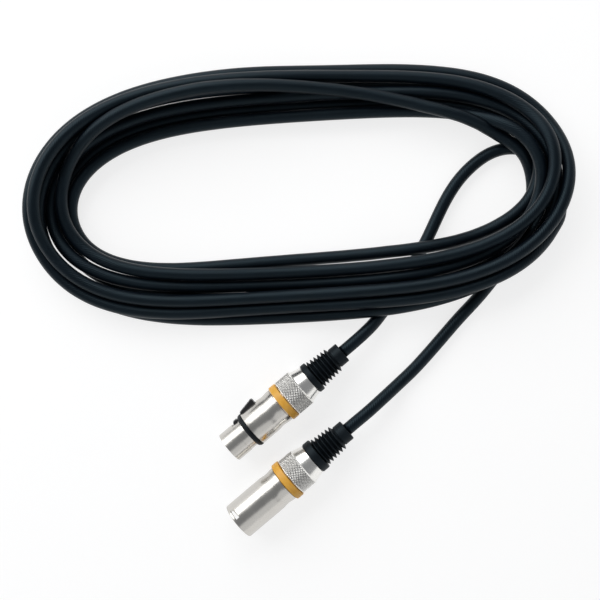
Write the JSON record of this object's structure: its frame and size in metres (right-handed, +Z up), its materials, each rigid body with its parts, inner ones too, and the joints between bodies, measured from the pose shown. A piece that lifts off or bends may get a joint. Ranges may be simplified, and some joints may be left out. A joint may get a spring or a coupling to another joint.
{
  "type": "microphone cable",
  "caption": "Microphone cable with a female and a male three-pole connector, coiled in a flat oval, with nickel shells, amber coding rings and ribbed boots",
  "frame": {"origin": "Middle of the two connectors' bounding box, on the floor that they and the coil lie on", "axes": "+X from the connectors' mouths to their boots, +Z up"},
  "size_m": [0.2516, 0.2187, 0.0301],
  "materials": {
    "nickel": "satin nickel plating",
    "bushing_nickel": "satin nickel plating, knurled collar",
    "ring_plastic": "semi-matt amber plastic",
    "gasket_rubber": "black rubber",
    "boot_rubber": "black rubber",
    "latch_plastic": "black",
    "insert_plastic": "black",
    "contact_gold": "gold plating",
    "spring_steel": "plain",
    "chuck_plastic": "natural",
    "cable_jacket": "soft black jacket",
    "core_red": "red insulation",
    "core_white": "white insulation",
    "drain_copper": "bare twisted copper"
  },
  "bodies": {
    "main": {"female_shell": "nickel", "female_gasket": "gasket_rubber", "female_insert": "insert_plastic", "female_contact_1": "contact_gold", "female_contact_2": "contact_gold", "female_contact_3": "contact_gold", "female_ground_contact": "contact_gold", "female_latch_pin": "spring_steel", "female_latch_spring": "spring_steel", "female_coding_ring": "ring_plastic", "female_chuck": "chuck_plastic", "female_cable_end": "cable_jacket", "female_core_hot": "core_red", "female_core_cold": "core_white", "female_shield_drain": "drain_copper", "male_shell": "nickel", "male_insert": "insert_plastic", "male_pin_1": "contact_gold", "male_pin_2": "contact_gold", "male_pin_3": "contact_gold", "male_ground_contact": "contact_gold", "male_coding_ring": "ring_plastic", "male_chuck": "chuck_plastic", "male_cable_end": "cable_jacket", "male_core_hot": "core_red", "male_core_cold": "core_white", "male_shield_drain": "drain_copper", "cable_coil": "cable_jacket", "female_lead": "cable_jacket", "male_lead": "cable_jacket"},
    "female_latch": {"female_latch": "latch_plastic"},
    "female_collar": {"female_bushing": "bushing_nickel"},
    "female_boot": {"female_boot": "boot_rubber"},
    "male_collar": {"male_bushing": "bushing_nickel"},
    "male_boot": {"male_boot": "boot_rubber"}
  },
  "joints": [
    {"name": "latch_press", "type": "hinge", "parent": "main", "child": "female_latch", "pos_m": [0.00016, 0.02016, 0.01], "axis": [0, 0, 1], "range_deg": [0, 4], "stiffness_Nm_per_rad": 0.5, "springref_deg": -2.86},
    {"name": "female_boot_slide", "type": "slide", "parent": "main", "child": "female_boot", "axis": [1, 0, 0], "range_m": [0, 0.005]},
    {"name": "female_collar_turn", "type": "hinge", "parent": "female_boot", "child": "female_collar", "pos_m": [0.01516, 0.01476, 0.01], "axis": [1, 0, 0], "range_deg": [0, 1800]},
    {"name": "male_boot_slide", "type": "slide", "parent": "main", "child": "male_boot", "axis": [1, 0, 0], "range_m": [0, 0.005]},
    {"name": "male_collar_turn", "type": "hinge", "parent": "male_boot", "child": "male_collar", "pos_m": [-0.00813, -0.01624, 0.0105], "axis": [1, 0, 0], "range_deg": [0, 1800]}
  ],
  "couplings": [
    {"joint": "female_boot_slide", "follows": "female_collar_turn", "m_per_rad": 0.00015915},
    {"joint": "male_boot_slide", "follows": "male_collar_turn", "m_per_rad": 0.00015915}
  ]
}
